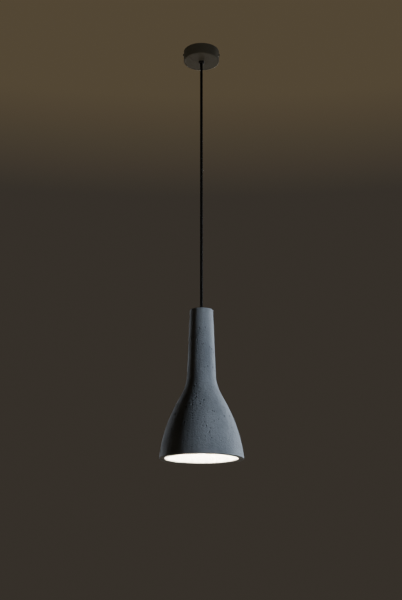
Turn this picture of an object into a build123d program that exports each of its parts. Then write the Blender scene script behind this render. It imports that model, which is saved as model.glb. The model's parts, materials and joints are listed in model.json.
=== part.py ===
from build123d import *
import math
import os

# Pendant ceiling light: a concrete shade with a bottle neck, hung on a textile cord from a round metal rose.
# Millimetres, +Z up. The origin is the centre of the rose's bracket, on the ceiling plane.
# Everything hangs below the ceiling, so every height is a negative Z.

os.makedirs("parts", exist_ok=True)

# ---- Driving dimensions ----

drop = 925.0  # ceiling to the mouth of the shade
cord_r = 3.0

rose_r = 40.0
rose_height = 25.0
rose_wall = 1.0
rose_gap = 0.3  # between the rim of the rose and the ceiling
rose_edge_r = 1.6

shade_height = 312.0
neck_length = 140.0
neck_top_r = 24.4
neck_bottom_r = 30.0
flare_r = 90.0
cone_angle = 27.7  # degrees from the vertical
cone_height = 23.3
belly_r = 314.5
web_thickness = 14.0
web_hole_r = 6.0
neck_wall = 8.0
inner_cone_height = 22.7
inner_flare_r = 98.0
inner_belly_r = 258.0
inner_neck_end = 168.0  # height of the inner neck's lower end above the mouth
rim_round = 1.6
neck_round = 1.0
web_round = 1.5

bracket_thickness = 1.5
bracket_width = 16.0
bracket_half_length = 37.5
ear_width = 12.0
ear_height = 14.0
slot_spacing = 52.0
slot_r = 2.5
slot_length = 10.0
entry_r = 5.0
rose_screw_depth = 8.0  # side screws below the ceiling
bracket_bend_r = 1.2

m3_r = 1.5
m3_hole_r = 1.7
m10_r = 4.95
m10_bore_r = 5.0
m10_flats = 14.0
slot_width = 0.6  # of a screwdriver slot
grub_slot_depth = 0.8
thread_fit = 0.05  # radial, between a plain shank and the hole it screws into
nut_corner = 0.6

grip_height = 4.5
grip_r = 6.0
grip_stem = 10.0
cord_bore_r = 3.15
pivot_below_grip = 1.3
ball_gap = 0.3

tube_bore_r = 3.7
tube_proud = 3.5  # threaded tube above the top of the shade
tube_engagement = 7.0  # of the tube in the lampholder's collar

holder_r = 19.5
holder_skirt_end = 128.0  # above the mouth
holder_height = 60.0
holder_wall = 1.8

bulb_length = 108.0
bulb_r = 30.0
bulb_contact_depth = 31.0  # the bulb's tip above the end of the lampholder's skirt
thread_pitch = 3.629
thread_turns = 4
cap_root_r = 12.2
cap_crest_r = 13.05

lead_r = 1.1
core_wire_r = 0.6

# ---- Heights that follow ----

rose_floor = -rose_height + rose_wall
grip_mouth = -rose_height - grip_height
grip_top = -rose_height + grip_stem
pivot_z = grip_mouth - pivot_below_grip
mouth_z = -drop
shade_top = mouth_z + shade_height
web_bottom = shade_top - web_thickness
skirt_end = mouth_z + holder_skirt_end
holder_top = skirt_end + holder_height
tube_top = shade_top + tube_proud
tube_end = holder_top - tube_engagement
bulb_tip = skirt_end + bulb_contact_depth
bulb_bottom = bulb_tip - bulb_length


# ---- Repeated forms ----


def ring(inner_r, outer_r, low_z, high_z):
    """A plain ring about the Z axis."""
    with BuildPart() as body:
        with BuildSketch(Plane.XY.offset(low_z)):
            Circle(outer_r)
            Circle(inner_r, mode=Mode.SUBTRACT)
        extrude(amount=high_z - low_z)
    return body


def hex_nut(bore_r, flats, low_z, high_z):
    """A hexagon nut about the Z axis, with its corners turned down."""
    with BuildPart() as nut:
        with BuildSketch(Plane.XY.offset(low_z)):
            RegularPolygon(flats / 2, 6, major_radius=False)
            Circle(bore_r, mode=Mode.SUBTRACT)
        extrude(amount=high_z - low_z)
        with BuildSketch(Plane.XZ):
            with BuildLine():
                corner_r = flats / math.sqrt(3)
                Polyline(
                    (bore_r, low_z),
                    (flats / 2 - nut_corner / 3, low_z),
                    (corner_r, low_z + nut_corner),
                    (corner_r, high_z - nut_corner),
                    (flats / 2 - nut_corner / 3, high_z),
                    (bore_r, high_z),
                    close=True,
                )
            make_face()
        revolve(mode=Mode.INTERSECT)
    return nut


def slotted_screw(head_plane, head_r, head_height, shank_r, shank_length):
    """A slotted screw: its head rises along the plane's normal and its shank goes the other way."""
    with BuildPart() as screw:
        with BuildSketch(head_plane):
            Circle(head_r)
        extrude(amount=head_height)
        fillet(screw.edges().sort_by(Axis(head_plane.origin, head_plane.z_dir))[-1], head_height * 0.45)
        with BuildSketch(head_plane.offset(head_height)):
            Rectangle(3 * head_r, slot_width)
        extrude(amount=-0.5 * head_height, mode=Mode.SUBTRACT)
        with BuildSketch(head_plane):
            Circle(shank_r)
        extrude(amount=-shank_length)
    return screw


def grub_screw(end_plane, radius, length):
    """A headless slotted screw that goes in against the plane's normal."""
    with BuildPart() as screw:
        with BuildSketch(end_plane):
            Circle(radius)
        extrude(amount=-length)
        with BuildSketch(end_plane):
            Rectangle(3 * radius, slot_width)
        extrude(amount=-grub_slot_depth, mode=Mode.SUBTRACT)
    return screw


def lead(points, radii, bare_length):
    """An insulated conductor along straight runs and arcs, with a bare end at its last point."""
    with BuildPart() as wire:
        with BuildLine() as route:
            FilletPolyline(*points, radius=radii)
        with BuildSketch(Plane(route.wire() @ 0, z_dir=route.wire() % 0)):
            Circle(lead_r)
        sweep(path=route.wire())
        with BuildSketch(Plane(route.wire() @ 1, z_dir=route.wire() % 1)):
            Circle(core_wire_r)
        extrude(amount=bare_length)
    return wire


# ---- Mounting bracket: a strap under the ceiling with two slots, its ends bent down into notched ears ----

with BuildPart() as mounting_bracket:
    with BuildSketch(Plane.XY.offset(-bracket_thickness)):
        Rectangle(2 * bracket_half_length, bracket_width)
        with Locations((-slot_spacing / 2, 0), (slot_spacing / 2, 0)):
            SlotOverall(slot_length, 2 * slot_r, mode=Mode.SUBTRACT)
        Circle(entry_r, mode=Mode.SUBTRACT)
    extrude(amount=bracket_thickness)
    with BuildSketch(Plane.YZ.offset(bracket_half_length - bracket_thickness)):
        with Locations((0, -ear_height / 2)):
            Rectangle(ear_width, ear_height)
        with Locations((0, -rose_screw_depth)):
            Circle(m3_hole_r, mode=Mode.SUBTRACT)
        with Locations((0, -(rose_screw_depth + ear_height) / 2)):
            Rectangle(2 * m3_hole_r, ear_height - rose_screw_depth, mode=Mode.SUBTRACT)
    extrude(amount=bracket_thickness)
    mirror(about=Plane.YZ)
    outer_bends = mounting_bracket.edges().filter_by(Axis.Y).filter_by(lambda e: e.length > ear_width - 1)
    fillet(outer_bends.filter_by(lambda e: abs(e.center().Z) < 0.01), bracket_bend_r)
mounting_bracket.part.label = "mounting_bracket"
export_step(mounting_bracket.part, "parts/mounting_bracket.step")

# ---- Canopy cup: the visible metal rose, a spun cup that hangs on the bracket's ears ----

with BuildPart() as canopy_cup:
    with BuildSketch(Plane.XY.offset(-rose_height)):
        Circle(rose_r)
    extrude(amount=rose_height - rose_gap)
    fillet(canopy_cup.edges().group_by(Axis.Z)[0], rose_edge_r)
    with BuildSketch(Plane.XY.offset(rose_floor)):
        Circle(rose_r - rose_wall)
    extrude(amount=rose_height, mode=Mode.SUBTRACT)
    with BuildSketch(Plane.XY.offset(-rose_height)):
        Circle(m10_bore_r)
    extrude(amount=rose_wall, mode=Mode.SUBTRACT)
    with BuildSketch(Plane.YZ.offset(-rose_r)):
        with Locations((0, -rose_screw_depth)):
            Circle(m3_hole_r)
    extrude(amount=2 * rose_r, mode=Mode.SUBTRACT)
canopy_cup.part.label = "canopy_cup"
export_step(canopy_cup.part, "parts/canopy_cup.step")

# ---- Rose side screws and their nuts, which pinch the cup to the ears ----

rose_screw_head_r = 2.8
rose_screw_head = 1.6
rose_screw_length = 8.0
rose_nut_thickness = 2.3
rose_nut_flats = 5.5
rose_nut_gap = 0.1  # between a nut and its ear
rose_nut_outer_x = bracket_half_length - bracket_thickness - rose_nut_gap


def rose_side_plane(side, x):
    """The plane across a side screw's axis, facing outwards."""
    return Plane((side * x, 0, -rose_screw_depth), x_dir=(0, 1, 0), z_dir=(side, 0, 0))


with BuildPart() as canopy_screws:
    for side in (1, -1):
        add(slotted_screw(rose_side_plane(side, rose_r), rose_screw_head_r, rose_screw_head, m3_r,
                          rose_screw_length).part)
canopy_screws.part.label = "canopy_screws"
export_step(canopy_screws.part, "parts/canopy_screws.step")

with BuildPart() as canopy_nuts:
    for side in (1, -1):
        with BuildSketch(rose_side_plane(side, rose_nut_outer_x)):
            RegularPolygon(rose_nut_flats / 2, 6, major_radius=False)
            Circle(m3_r + thread_fit, mode=Mode.SUBTRACT)
        extrude(amount=-rose_nut_thickness)
canopy_nuts.part.label = "canopy_nuts"
export_step(canopy_nuts.part, "parts/canopy_nuts.step")

# ---- Terminal block: a three-pole strip in the rose, its poles side by side along X ----

block_x = -4.5
block_front_y = 12.0
block_depth = 17.0
block_y = block_front_y + block_depth / 2
block_low = -13.0
block_top = -5.0
tower_top = -2.5
pole_pitch = 9.0
pole_xs = (block_x - pole_pitch, block_x, block_x + pole_pitch)
wire_z = -9.0
insert_r = 2.4
insert_length = 14.0
wire_hole_r = 1.6
clamp_screw_r = 1.7
clamp_screw_top = -3.4
clamp_screw_length = 4.4
clamp_screw_ys = (block_y - 4.0, block_y + 4.0)
tower_r = 3.2
block_corner_r = 1.2
pole_groove = 1.2
pole_groove_depth = 3.0

with BuildPart() as terminal_block:
    with BuildSketch(Plane.XY.offset(block_low)):
        with Locations((block_x, block_y)):
            Rectangle(3 * pole_pitch, block_depth)
    extrude(amount=block_top - block_low)
    fillet(terminal_block.edges().filter_by(Axis.Z), block_corner_r)
    with BuildSketch(Plane.XY.offset(block_top)):
        for x in pole_xs:
            for y in clamp_screw_ys:
                with Locations((x, y)):
                    Circle(tower_r)
    extrude(amount=tower_top - block_top)
    with BuildSketch(Plane.XY.offset(block_top)):
        with Locations((block_x - pole_pitch / 2, block_y), (block_x + pole_pitch / 2, block_y)):
            Rectangle(pole_groove, block_depth)
    extrude(amount=-pole_groove_depth, mode=Mode.SUBTRACT)
    with BuildSketch(Plane.XZ.offset(-block_front_y)):
        for x in pole_xs:
            with Locations((x, wire_z)):
                Circle(wire_hole_r + 0.3)
    extrude(amount=-block_depth, mode=Mode.SUBTRACT)
    with BuildSketch(Plane.XZ.offset(-(block_y - insert_length / 2))):
        for x in pole_xs:
            with Locations((x, wire_z)):
                Circle(insert_r + thread_fit)
    extrude(amount=-insert_length, mode=Mode.SUBTRACT)
    with BuildSketch(Plane.XY.offset(tower_top)):
        for x in pole_xs:
            for y in clamp_screw_ys:
                with Locations((x, y)):
                    Circle(clamp_screw_r + 0.2)
    extrude(amount=wire_z - tower_top, mode=Mode.SUBTRACT)
terminal_block.part.label = "terminal_block"
export_step(terminal_block.part, "parts/terminal_block.step")

with BuildPart() as terminal_inserts:
    with BuildSketch(Plane.XZ.offset(-(block_y - insert_length / 2))):
        for x in pole_xs:
            with Locations((x, wire_z)):
                Circle(insert_r)
                Circle(wire_hole_r, mode=Mode.SUBTRACT)
    extrude(amount=-insert_length)
    with BuildSketch(Plane.XY.offset(tower_top)):
        for x in pole_xs:
            for y in clamp_screw_ys:
                with Locations((x, y)):
                    Circle(clamp_screw_r + thread_fit)
    extrude(amount=wire_z - tower_top, mode=Mode.SUBTRACT)
terminal_inserts.part.label = "terminal_inserts"
export_step(terminal_inserts.part, "parts/terminal_inserts.step")

with BuildPart() as terminal_screws:
    for x in pole_xs:
        for y in clamp_screw_ys:
            add(grub_screw(Plane((x, y, clamp_screw_top)), clamp_screw_r, clamp_screw_length).part)
terminal_screws.part.label = "terminal_screws"
export_step(terminal_screws.part, "parts/terminal_screws.step")

# ---- Earth connection of the metal rose: a stud on its floor with a ring lug under a nut ----

earth_x = 15.5
earth_y = 20.0
stud_length = 8.0
stud_chamfer = 0.5
earth_nut_flats = 7.0
earth_nut_height = 3.2
lug_r = 4.0
lug_neck_width = 3.2
lug_neck_length = 3.0
lug_neck_y = earth_y - 3.5
lug_thickness = 0.8
lug_barrel_r = 1.9
lug_barrel_z = rose_floor + lug_barrel_r
lug_barrel_y = earth_y - lug_r
lug_barrel_length = 6.0
m4_r = 2.0

with BuildPart() as earth_stud:
    with BuildSketch(Plane.XY.offset(rose_floor)):
        with Locations((earth_x, earth_y)):
            Circle(m4_r)
    extrude(amount=stud_length)
    chamfer(earth_stud.edges().sort_by(Axis.Z)[-1], stud_chamfer)
earth_stud.part.label = "earth_stud"
export_step(earth_stud.part, "parts/earth_stud.step")

with BuildPart() as earth_lug:
    with BuildSketch(Plane.XY.offset(rose_floor)):
        with Locations((earth_x, earth_y)):
            Circle(lug_r)
        with Locations((earth_x, lug_neck_y)):
            Rectangle(lug_neck_width, lug_neck_length)
        with Locations((earth_x, earth_y)):
            Circle(m4_r + 0.2, mode=Mode.SUBTRACT)
    extrude(amount=lug_thickness)
    with BuildSketch(Plane.XZ.offset(-(lug_barrel_y - lug_barrel_length))):
        with Locations((earth_x, lug_barrel_z)):
            Circle(lug_barrel_r)
            Circle(lead_r + thread_fit, mode=Mode.SUBTRACT)
    extrude(amount=-lug_barrel_length)
earth_lug.part.label = "earth_lug"
export_step(earth_lug.part, "parts/earth_lug.step")

with BuildPart() as earth_nut:
    with BuildSketch(Plane.XY.offset(rose_floor + lug_thickness)):
        with Locations((earth_x, earth_y)):
            RegularPolygon(earth_nut_flats / 2, 6, major_radius=False)
            Circle(m4_r + thread_fit, mode=Mode.SUBTRACT)
    extrude(amount=earth_nut_height)
earth_nut.part.label = "earth_nut"
export_step(earth_nut.part, "parts/earth_nut.step")

insulation_entry = 2.0  # how far an insulated lead goes into its pole or barrel
bare_in_pole = 4.5
earth_turn_y = 3.0
earth_rise_z = -15.5

earth_lead = lead(
    [
        (earth_x, lug_barrel_y - insulation_entry, lug_barrel_z),
        (earth_x, earth_turn_y, lug_barrel_z),
        (earth_x, earth_turn_y, earth_rise_z),
        (pole_xs[2], earth_turn_y + 2.0, wire_z),
        (pole_xs[2], block_front_y + insulation_entry, wire_z),
    ],
    [2.4, 2.4, 2.6],
    bare_in_pole,
)
earth_lead.part.label = "earth_lead"
export_step(earth_lead.part, "parts/earth_lead.step")

# ---- Cord grip: a threaded nylon gland through the floor of the rose, with its nut and pinch screw ----

grip_screw_z = -rose_height - grip_height / 2
grip_mouth_round = 1.0
grip_nut_height = 3.0
screw_sunk = 0.3  # a pinch screw's end below the surface it goes into
pinch_gap = 0.02  # between a pinch screw's tip and what it holds

with BuildPart() as cord_grip:
    with BuildSketch(Plane.XY.offset(grip_mouth)):
        Circle(grip_r)
    extrude(amount=grip_height)
    fillet(cord_grip.edges().sort_by(Axis.Z)[0], grip_mouth_round)
    with BuildSketch(Plane.XY.offset(-rose_height)):
        Circle(m10_r)
    extrude(amount=grip_stem)
    with BuildSketch(Plane.XY.offset(grip_mouth)):
        Circle(cord_bore_r)
    extrude(amount=grip_height + grip_stem, mode=Mode.SUBTRACT)
    with BuildSketch(Plane.YZ):
        with Locations((0, grip_screw_z)):
            Circle(m3_r)
    extrude(amount=grip_r, mode=Mode.SUBTRACT)
cord_grip.part.label = "cord_grip"
export_step(cord_grip.part, "parts/cord_grip.step")

cord_grip_nut = hex_nut(m10_bore_r, m10_flats, rose_floor, rose_floor + grip_nut_height)
cord_grip_nut.part.label = "cord_grip_nut"
export_step(cord_grip_nut.part, "parts/cord_grip_nut.step")


def pinch_screw(surface_r, held_r, z):
    """A headless M3 screw along X, sunk in a round piece, with its tip at what it holds."""
    end_plane = Plane((surface_r - screw_sunk, 0, z), x_dir=(0, 1, 0), z_dir=(1, 0, 0))
    return grub_screw(end_plane, m3_r - thread_fit, surface_r - screw_sunk - held_r - pinch_gap)


cord_grip_screw = pinch_screw(grip_r, cord_r, grip_screw_z)
cord_grip_screw.part.label = "cord_grip_screw"
export_step(cord_grip_screw.part, "parts/cord_grip_screw.step")

# ---- Cord: held in the grip, free on a ball-shaped bend at the pivot, then straight down into the tube ----

sheath_beyond = 0.5  # the cord's sheath past the grip and past the stop
bushing_flange = 1.6
stop_gap = 0.3
stop_height = 4.0
sheath_top = grip_top + sheath_beyond
bushing_top = tube_top + bushing_flange
stop_low = tube_end - stop_gap - stop_height
sheath_end = stop_low - sheath_beyond


def cord_run(low_z, high_z, with_socket):
    """A straight run of cord, hollowed round the pivot where it meets the ball."""
    with BuildPart() as run:
        with BuildSketch(Plane.XY.offset(low_z)):
            Circle(cord_r)
        extrude(amount=high_z - low_z)
        if with_socket:
            with Locations((0, 0, pivot_z)):
                Sphere(cord_r + ball_gap, mode=Mode.SUBTRACT)
    return run


cord_upper = cord_run(pivot_z, sheath_top, True)
cord_upper.part.label = "cord_upper"
export_step(cord_upper.part, "parts/cord_upper.step")

with BuildPart() as cord_bend:
    with Locations((0, 0, pivot_z)):
        Sphere(cord_r)
cord_bend.part.label = "cord_bend"
export_step(cord_bend.part, "parts/cord_bend.step")

cord = cord_run(bushing_top, pivot_z, True)
cord.part.label = "cord"
export_step(cord.part, "parts/cord.step")

cord_lower = cord_run(sheath_end, bushing_top, False)
cord_lower.part.label = "cord_lower"
export_step(cord_lower.part, "parts/cord_lower.step")

# ---- The cord's live and neutral conductors, in the rose and in the lampholder ----

core_offset = 1.3
pole_approach_y = 8.0


def rose_lead(side, pole_x):
    """A conductor from the top of the cord to its pole of the terminal block."""
    return lead(
        [
            (side * core_offset, 0, sheath_top),
            (side * core_offset, 0, wire_z),
            (pole_x, pole_approach_y, wire_z),
            (pole_x, block_front_y + insulation_entry, wire_z),
        ],
        [2.6, 3.0],
        bare_in_pole,
    )


live_lead_top = rose_lead(-1, pole_xs[0])
live_lead_top.part.label = "live_lead_top"
export_step(live_lead_top.part, "parts/live_lead_top.step")

neutral_lead_top = rose_lead(1, pole_xs[1])
neutral_lead_top.part.label = "neutral_lead_top"
export_step(neutral_lead_top.part, "parts/neutral_lead_top.step")

core_top = skirt_end + 40.0
terminal_x = 9.5
terminal_top = core_top + 3.4
lead_turn_z = terminal_top + 2.1
lead_end_gap = 0.1
bare_in_terminal = 4.0


def holder_lead(side):
    """A conductor from the end of the cord to its terminal on the lampholder's core."""
    return lead(
        [
            (side * core_offset, 0, sheath_end),
            (side * core_offset, 0, lead_turn_z),
            (side * terminal_x, 0, lead_turn_z),
            (side * terminal_x, 0, terminal_top + lead_end_gap),
        ],
        [2.2, 1.8],
        bare_in_terminal,
    )


live_lead_bottom = holder_lead(-1)
live_lead_bottom.part.label = "live_lead_bottom"
export_step(live_lead_bottom.part, "parts/live_lead_bottom.step")

neutral_lead_bottom = holder_lead(1)
neutral_lead_bottom.part.label = "neutral_lead_bottom"
export_step(neutral_lead_bottom.part, "parts/neutral_lead_bottom.step")

# ---- Threaded tube through the shade's web, with its bushing, washers and nuts ----

bushing_flange_r = 5.5
bushing_round = 1.0
bushing_stem = 8.0
rubber_washer_r = 13.5
steel_washer_r = 14.0
rubber_washer_thickness = 2.0
steel_washer_thickness = 1.5
washer_bore_r = 5.1
carrier_nut_height = 3.0
rubber_washer_low = web_bottom - rubber_washer_thickness
steel_washer_low = rubber_washer_low - steel_washer_thickness

threaded_tube = ring(tube_bore_r, m10_r, tube_end, tube_top)
threaded_tube.part.label = "threaded_tube"
export_step(threaded_tube.part, "parts/threaded_tube.step")

with BuildPart() as tube_bushing:
    with BuildSketch(Plane.XY.offset(tube_top)):
        Circle(bushing_flange_r)
    extrude(amount=bushing_flange)
    fillet(tube_bushing.edges().sort_by(Axis.Z)[-1], bushing_round)
    with BuildSketch(Plane.XY.offset(tube_top)):
        Circle(tube_bore_r - thread_fit)
    extrude(amount=-bushing_stem)
    with BuildSketch(Plane.XY.offset(bushing_top)):
        Circle(cord_bore_r)
    extrude(amount=-bushing_flange - bushing_stem, mode=Mode.SUBTRACT)
tube_bushing.part.label = "tube_bushing"
export_step(tube_bushing.part, "parts/tube_bushing.step")

rubber_washer = ring(washer_bore_r, rubber_washer_r, rubber_washer_low, web_bottom)
rubber_washer.part.label = "rubber_washer"
export_step(rubber_washer.part, "parts/rubber_washer.step")

support_washer = ring(washer_bore_r, steel_washer_r, steel_washer_low, rubber_washer_low)
support_washer.part.label = "support_washer"
export_step(support_washer.part, "parts/support_washer.step")

carrier_nut = hex_nut(m10_bore_r, m10_flats, steel_washer_low - carrier_nut_height, steel_washer_low)
carrier_nut.part.label = "carrier_nut"
export_step(carrier_nut.part, "parts/carrier_nut.step")

lock_nut = hex_nut(m10_bore_r, m10_flats, holder_top, holder_top + carrier_nut_height)
lock_nut.part.label = "lock_nut"
export_step(lock_nut.part, "parts/lock_nut.step")

# ---- Cord stop: a brass collar pinched on the cord under the tube, which carries the lamp's weight ----

stop_r = 6.5

with BuildPart() as cord_stop:
    with BuildSketch(Plane.XY.offset(stop_low)):
        Circle(stop_r)
        Circle(cord_r + thread_fit, mode=Mode.SUBTRACT)
    extrude(amount=stop_height)
    with BuildSketch(Plane.YZ):
        with Locations((0, stop_low + stop_height / 2)):
            Circle(m3_r)
    extrude(amount=stop_r, mode=Mode.SUBTRACT)
cord_stop.part.label = "cord_stop"
export_step(cord_stop.part, "parts/cord_stop.step")

cord_stop_screw = pinch_screw(stop_r, cord_r, stop_low + stop_height / 2)
cord_stop_screw.part.label = "cord_stop_screw"
export_step(cord_stop_screw.part, "parts/cord_stop_screw.step")

# ---- Lampholder: cap, shell, ceramic core, screw shell, centre contact and terminals ----

collar_r = 8.0
collar_low = tube_end
holder_seam = skirt_end + 35.0
shoulder_z = holder_seam + 10.0
thread_ring_high = holder_seam + 5.0
inner_collar_r = 7.2
cap_inner_r = holder_r - 2.0
cap_screw_z = holder_top - 2.8

shoulder_outside = (16.1, collar_low - 2.6)
shoulder_inside = (14.6, collar_low - 4.1)

with BuildPart() as holder_cap:
    with BuildSketch(Plane.XZ):
        with BuildLine():
            Line((m10_bore_r, holder_top), (collar_r, holder_top))
            Line((collar_r, holder_top), (collar_r, collar_low + 1.0))
            ThreePointArc((collar_r, collar_low + 1.0), shoulder_outside, (holder_r, shoulder_z))
            Line((holder_r, shoulder_z), (holder_r, holder_seam))
            Line((holder_r, holder_seam), (cap_inner_r, holder_seam))
            Line((cap_inner_r, holder_seam), (cap_inner_r, shoulder_z - 0.6))
            ThreePointArc((cap_inner_r, shoulder_z - 0.6), shoulder_inside, (inner_collar_r, collar_low))
            Line((inner_collar_r, collar_low), (m10_bore_r, collar_low))
            Line((m10_bore_r, collar_low), (m10_bore_r, holder_top))
        make_face()
    revolve()
    with BuildSketch(Plane.YZ):
        with Locations((0, cap_screw_z)):
            Circle(m3_r)
    extrude(amount=collar_r, mode=Mode.SUBTRACT)
holder_cap.part.label = "holder_cap"
export_step(holder_cap.part, "parts/holder_cap.step")

holder_cap_screw = pinch_screw(collar_r, m10_r, cap_screw_z)
holder_cap_screw.part.label = "holder_cap_screw"
export_step(holder_cap_screw.part, "parts/holder_cap_screw.step")

ledge_z = skirt_end + 31.0
flange_r = 17.4
core_r = 15.4
shell_throat_r = core_r + 0.4
shell_lip_round = 0.7

with BuildPart() as holder_shell:
    with BuildSketch(Plane.XZ):
        with BuildLine():
            inner_r = holder_r - holder_wall
            Polyline(
                (inner_r, skirt_end),
                (holder_r, skirt_end),
                (holder_r, holder_seam),
                (flange_r, holder_seam),
                (flange_r, thread_ring_high),
                (shell_throat_r, thread_ring_high),
                (shell_throat_r, ledge_z - 1.6),
                (inner_r, ledge_z - 3.4),
                close=True,
            )
        make_face()
    revolve()
    lip_edges = holder_shell.edges().filter_by(GeomType.CIRCLE).group_by(Axis.Z)[0]
    fillet(lip_edges, shell_lip_round)
holder_shell.part.label = "holder_shell"
export_step(holder_shell.part, "parts/holder_shell.step")

core_low = skirt_end + 28.5
contact_z = bulb_tip + 0.1
contact_strip = 0.5
contact_width = 5.0
contact_end_x = -5.0
contact_head = 0.6  # of the riser above the core
recess_r = 9.2
recess_depth = 5.0
riser_x = 5.0
terminal_size = 7.0
terminal_sunk = 4.0
fit_gap = 0.2  # round a metal piece in the ceramic core

with BuildPart() as holder_core:
    with BuildSketch(Plane.XY.offset(core_low)):
        Circle(core_r)
    extrude(amount=core_top - core_low)
    with BuildSketch(Plane.XY.offset(core_low)):
        Circle(recess_r)
    extrude(amount=recess_depth, mode=Mode.SUBTRACT)
    with BuildSketch(Plane.XY.offset(core_top)):
        with Locations((-terminal_x, 0), (terminal_x, 0)):
            Rectangle(terminal_size + fit_gap, terminal_size + fit_gap)
    extrude(amount=-terminal_sunk, mode=Mode.SUBTRACT)
    with BuildSketch(Plane.XY.offset(core_low)):
        with Locations((riser_x, 0)):
            Rectangle(contact_strip + 2 * fit_gap, contact_width + 2 * fit_gap)
    extrude(amount=core_top - core_low, mode=Mode.SUBTRACT)
holder_core.part.label = "holder_core"
export_step(holder_core.part, "parts/holder_core.step")

with BuildPart() as centre_contact:
    with BuildSketch(Plane.XZ.offset(-contact_width / 2)):
        with BuildLine():
            Polyline(
                (contact_end_x, contact_z),
                (riser_x + contact_strip / 2, contact_z),
                (riser_x + contact_strip / 2, core_top + contact_head),
                (riser_x - contact_strip / 2, core_top + contact_head),
                (riser_x - contact_strip / 2, contact_z + contact_strip),
                (contact_end_x, contact_z + contact_strip),
                close=True,
            )
        make_face()
    extrude(amount=contact_width)
centre_contact.part.label = "centre_contact"
export_step(centre_contact.part, "parts/centre_contact.step")

screw_shell_r = 13.45
screw_shell_wall = 0.4
screw_shell_low = skirt_end + 5.0
screw_shell_top = 0.5
screw_shell_round = 0.8

with BuildPart() as screw_shell:
    with BuildSketch(Plane.XY.offset(screw_shell_low)):
        Circle(screw_shell_r + screw_shell_wall)
    extrude(amount=core_low - screw_shell_low)
    fillet(screw_shell.edges().sort_by(Axis.Z)[-1], screw_shell_round)
    with BuildSketch(Plane.XY.offset(screw_shell_low)):
        Circle(screw_shell_r)
    extrude(amount=core_low - screw_shell_low - screw_shell_top, mode=Mode.SUBTRACT)
    with BuildSketch(Plane.XY.offset(core_low)):
        Circle(recess_r)
    extrude(amount=-screw_shell_top, mode=Mode.SUBTRACT)
screw_shell.part.label = "screw_shell"
export_step(screw_shell.part, "parts/screw_shell.step")

terminal_low = core_top - terminal_sunk
terminal_screw_z = core_top + 1.6
terminal_screw_r = 1.25
terminal_screw_depth = 2.5
terminal_head_r = 1.5
terminal_head = 1.2

with BuildPart() as holder_terminals:
    with BuildSketch(Plane.XY.offset(terminal_low)):
        with Locations((-terminal_x, 0), (terminal_x, 0)):
            Rectangle(terminal_size, terminal_size)
            Circle(core_wire_r + fit_gap, mode=Mode.SUBTRACT)
    extrude(amount=terminal_top - terminal_low)
    with BuildSketch(Plane.XZ.offset(terminal_size / 2)):
        with Locations((-terminal_x, terminal_screw_z), (terminal_x, terminal_screw_z)):
            Circle(terminal_screw_r + thread_fit)
    extrude(amount=-terminal_screw_depth - 0.1, mode=Mode.SUBTRACT)
holder_terminals.part.label = "holder_terminals"
export_step(holder_terminals.part, "parts/holder_terminals.step")

with BuildPart() as holder_terminal_screws:
    for side in (-1, 1):
        screw_face = (side * terminal_x, -terminal_size / 2, terminal_screw_z)
        head_plane = Plane(screw_face, x_dir=(1, 0, 0), z_dir=(0, -1, 0))
        add(slotted_screw(head_plane, terminal_head_r, terminal_head, terminal_screw_r,
                          terminal_screw_depth).part)
holder_terminal_screws.part.label = "holder_terminal_screws"
export_step(holder_terminal_screws.part, "parts/holder_terminal_screws.step")

# ---- Concrete shade: neck, flare, cone and belly, one casting with a web at its top ----


def to_radians_from_line(start, end):
    """The angle of a wall line from the vertical."""
    return math.atan2(end[0] - start[0], start[1] - end[1])


def wall_outline(top, neck_end, flare, cone_z, belly):
    """Neck, flare, cone and belly as tangent lines and arcs, from the top down to the mouth."""
    steep = math.radians(cone_angle)
    lean = to_radians_from_line(top, neck_end)
    neck_line = Line(top, neck_end)
    flare_arc = JernArc(neck_end, neck_line % 1, flare, cone_angle - math.degrees(lean))
    cone_start = flare_arc @ 1
    cone_line = Line(cone_start, (cone_start.X + cone_z * math.tan(steep), cone_start.Y - cone_z))
    belly_top = cone_line @ 1
    rim_lean = math.asin(math.sin(steep) - (belly_top.Y - mouth_z) / belly)
    belly_arc = JernArc(belly_top, cone_line % 1, belly, math.degrees(rim_lean) - cone_angle)
    return belly_arc @ 1


with BuildPart() as shade:
    with BuildSketch(Plane.XZ):
        with BuildLine():
            outer_top = (neck_top_r, shade_top)
            inner_top = (neck_top_r - neck_wall, web_bottom)
            outer_neck_end = (neck_bottom_r, shade_top - neck_length)
            inner_neck_end_point = (neck_bottom_r - neck_wall, mouth_z + inner_neck_end)
            outer_rim = wall_outline(outer_top, outer_neck_end, flare_r, cone_height, belly_r)
            inner_rim = wall_outline(
                inner_top, inner_neck_end_point, inner_flare_r, inner_cone_height, inner_belly_r
            )
            Line(outer_rim, inner_rim)
            Polyline(inner_top, (web_hole_r, web_bottom), (web_hole_r, shade_top), outer_top)
        make_face()
    revolve()
    mouth_edges = shade.edges().filter_by(GeomType.CIRCLE).group_by(Axis.Z)[0]
    fillet(mouth_edges, rim_round)
    top_edges = shade.edges().filter_by(GeomType.CIRCLE).group_by(Axis.Z)[-1]
    fillet(top_edges.sort_by(SortBy.RADIUS)[-1], neck_round)
    inner_edges = shade.edges().filter_by(GeomType.CIRCLE).filter_by(
        lambda e: abs(e.center().Z - web_bottom) < 0.01 and e.radius > web_hole_r + 1
    )
    fillet(inner_edges, web_round)
shade.part.label = "shade"
export_step(shade.part, "parts/shade.step")

# ---- Bulb: screw cap, insulator, contact, housing, globe, lamp board and driver ----

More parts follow.
